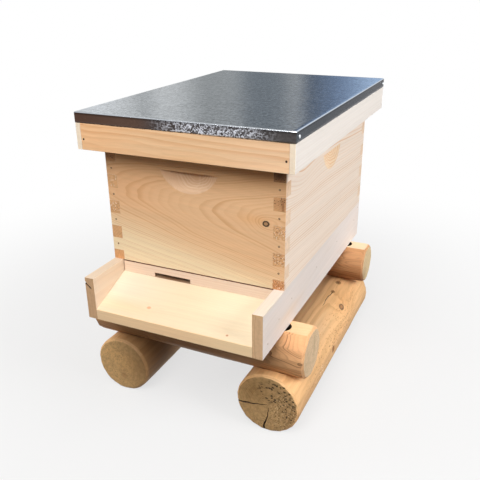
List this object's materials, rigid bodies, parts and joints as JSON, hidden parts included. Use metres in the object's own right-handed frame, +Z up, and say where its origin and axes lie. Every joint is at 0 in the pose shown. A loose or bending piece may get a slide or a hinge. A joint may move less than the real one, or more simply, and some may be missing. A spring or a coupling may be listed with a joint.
{
  "type": "beehive",
  "caption": "Wooden beehive: one deep box of hanging frames under a metal-roofed telescoping cover, on a bottom board with a sloped landing and a stand of round logs.",
  "frame": {"origin": "middle of the footprint, on the ground that the logs stand on", "axes": "+Z up, -Y out of the entrance (front), +X to the right as seen from the front"},
  "size_m": [0.4464, 0.6374, 0.5664],
  "materials": {
    "log_wood": "peeled softwood poles, sawn ends",
    "bolt_steel": "zinc plated",
    "base_wood": "planed pine, bare",
    "box_wood": "planed pine, bare",
    "nail_steel": "bright wire",
    "inner_cover_wood": "planed pine and plywood, bare",
    "cover_wood": "planed pine, bare",
    "galvanised_steel": "hot-dip galvanised, spangled",
    "frame_wood": "planed pine, bare",
    "foundation": "beeswax, pressed with cell bases"
  },
  "bodies": {
    "stand": {"stand_log_left": "log_wood", "stand_log_right": "log_wood", "stand_crosslog_front": "log_wood", "stand_crosslog_rear": "log_wood", "stand_bolts": "bolt_steel"},
    "bottom_board": {"bottom_rail_left": "base_wood", "bottom_rail_right": "base_wood", "floor_board_front": "base_wood", "floor_board_rear": "base_wood", "landing_board": "base_wood", "rear_cleat": "base_wood", "bottom_nails": "nail_steel"},
    "entrance_reducer": {"entrance_reducer": "base_wood"},
    "brood_box": {"box_front_board": "box_wood", "box_rear_board": "box_wood", "box_left_board": "box_wood", "box_right_board": "box_wood", "box_nails": "nail_steel"},
    "inner_cover": {"inner_cover_panel": "inner_cover_wood", "inner_cover_rims": "inner_cover_wood"},
    "outer_cover": {"cover_front_board": "cover_wood", "cover_rear_board": "cover_wood", "cover_left_board": "cover_wood", "cover_right_board": "cover_wood", "cover_panel": "cover_wood", "roof_sheet": "galvanised_steel", "cover_nails": "nail_steel", "roof_nails": "nail_steel"},
    "frame_1": {"frame_1_top_bar": "frame_wood", "frame_1_end_bars": "frame_wood", "frame_1_bottom_bar": "frame_wood", "frame_1_foundation": "foundation"},
    "frame_2": {"frame_2_top_bar": "frame_wood", "frame_2_end_bars": "frame_wood", "frame_2_bottom_bar": "frame_wood", "frame_2_foundation": "foundation"},
    "frame_3": {"frame_3_top_bar": "frame_wood", "frame_3_end_bars": "frame_wood", "frame_3_bottom_bar": "frame_wood", "frame_3_foundation": "foundation"},
    "frame_4": {"frame_4_top_bar": "frame_wood", "frame_4_end_bars": "frame_wood", "frame_4_bottom_bar": "frame_wood", "frame_4_foundation": "foundation"},
    "frame_5": {"frame_5_top_bar": "frame_wood", "frame_5_end_bars": "frame_wood", "frame_5_bottom_bar": "frame_wood", "frame_5_foundation": "foundation"},
    "frame_6": {"frame_6_top_bar": "frame_wood", "frame_6_end_bars": "frame_wood", "frame_6_bottom_bar": "frame_wood", "frame_6_foundation": "foundation"},
    "frame_7": {"frame_7_top_bar": "frame_wood", "frame_7_end_bars": "frame_wood", "frame_7_bottom_bar": "frame_wood", "frame_7_foundation": "foundation"},
    "frame_8": {"frame_8_top_bar": "frame_wood", "frame_8_end_bars": "frame_wood", "frame_8_bottom_bar": "frame_wood", "frame_8_foundation": "foundation"}
  },
  "joints": [
    {"name": "bottom_board_lift", "type": "slide", "parent": "stand", "child": "bottom_board", "axis": [0, 0, 1], "range_m": [0, 0.1]},
    {"name": "reducer_pull", "type": "slide", "parent": "bottom_board", "child": "entrance_reducer", "axis": [0, -1, 0], "range_m": [0, 0.09]},
    {"name": "brood_box_lift", "type": "slide", "parent": "bottom_board", "child": "brood_box", "axis": [0, 0, 1], "range_m": [0, 0.15]},
    {"name": "inner_cover_lift", "type": "slide", "parent": "brood_box", "child": "inner_cover", "axis": [0, 0, 1], "range_m": [0, 0.36]},
    {"name": "outer_cover_lift", "type": "slide", "parent": "inner_cover", "child": "outer_cover", "axis": [0, 0, 1], "range_m": [0, 0.15]},
    {"name": "frame_1_lift", "type": "slide", "parent": "brood_box", "child": "frame_1", "axis": [0, 0, 1], "range_m": [0, 0.27]},
    {"name": "frame_2_lift", "type": "slide", "parent": "brood_box", "child": "frame_2", "axis": [0, 0, 1], "range_m": [0, 0.27]},
    {"name": "frame_3_lift", "type": "slide", "parent": "brood_box", "child": "frame_3", "axis": [0, 0, 1], "range_m": [0, 0.27]},
    {"name": "frame_4_lift", "type": "slide", "parent": "brood_box", "child": "frame_4", "axis": [0, 0, 1], "range_m": [0, 0.27]},
    {"name": "frame_5_lift", "type": "slide", "parent": "brood_box", "child": "frame_5", "axis": [0, 0, 1], "range_m": [0, 0.27]},
    {"name": "frame_6_lift", "type": "slide", "parent": "brood_box", "child": "frame_6", "axis": [0, 0, 1], "range_m": [0, 0.27]},
    {"name": "frame_7_lift", "type": "slide", "parent": "brood_box", "child": "frame_7", "axis": [0, 0, 1], "range_m": [0, 0.27]},
    {"name": "frame_8_lift", "type": "slide", "parent": "brood_box", "child": "frame_8", "axis": [0, 0, 1], "range_m": [0, 0.27]}
  ],
  "couplings": [
    {"joint": "frame_1_lift", "follows": "inner_cover_lift", "ratio": 0.75},
    {"joint": "frame_2_lift", "follows": "inner_cover_lift", "ratio": 0.75},
    {"joint": "frame_3_lift", "follows": "inner_cover_lift", "ratio": 0.75},
    {"joint": "frame_4_lift", "follows": "inner_cover_lift", "ratio": 0.75},
    {"joint": "frame_5_lift", "follows": "inner_cover_lift", "ratio": 0.75},
    {"joint": "frame_6_lift", "follows": "inner_cover_lift", "ratio": 0.75},
    {"joint": "frame_7_lift", "follows": "inner_cover_lift", "ratio": 0.75},
    {"joint": "frame_8_lift", "follows": "inner_cover_lift", "ratio": 0.75}
  ]
}
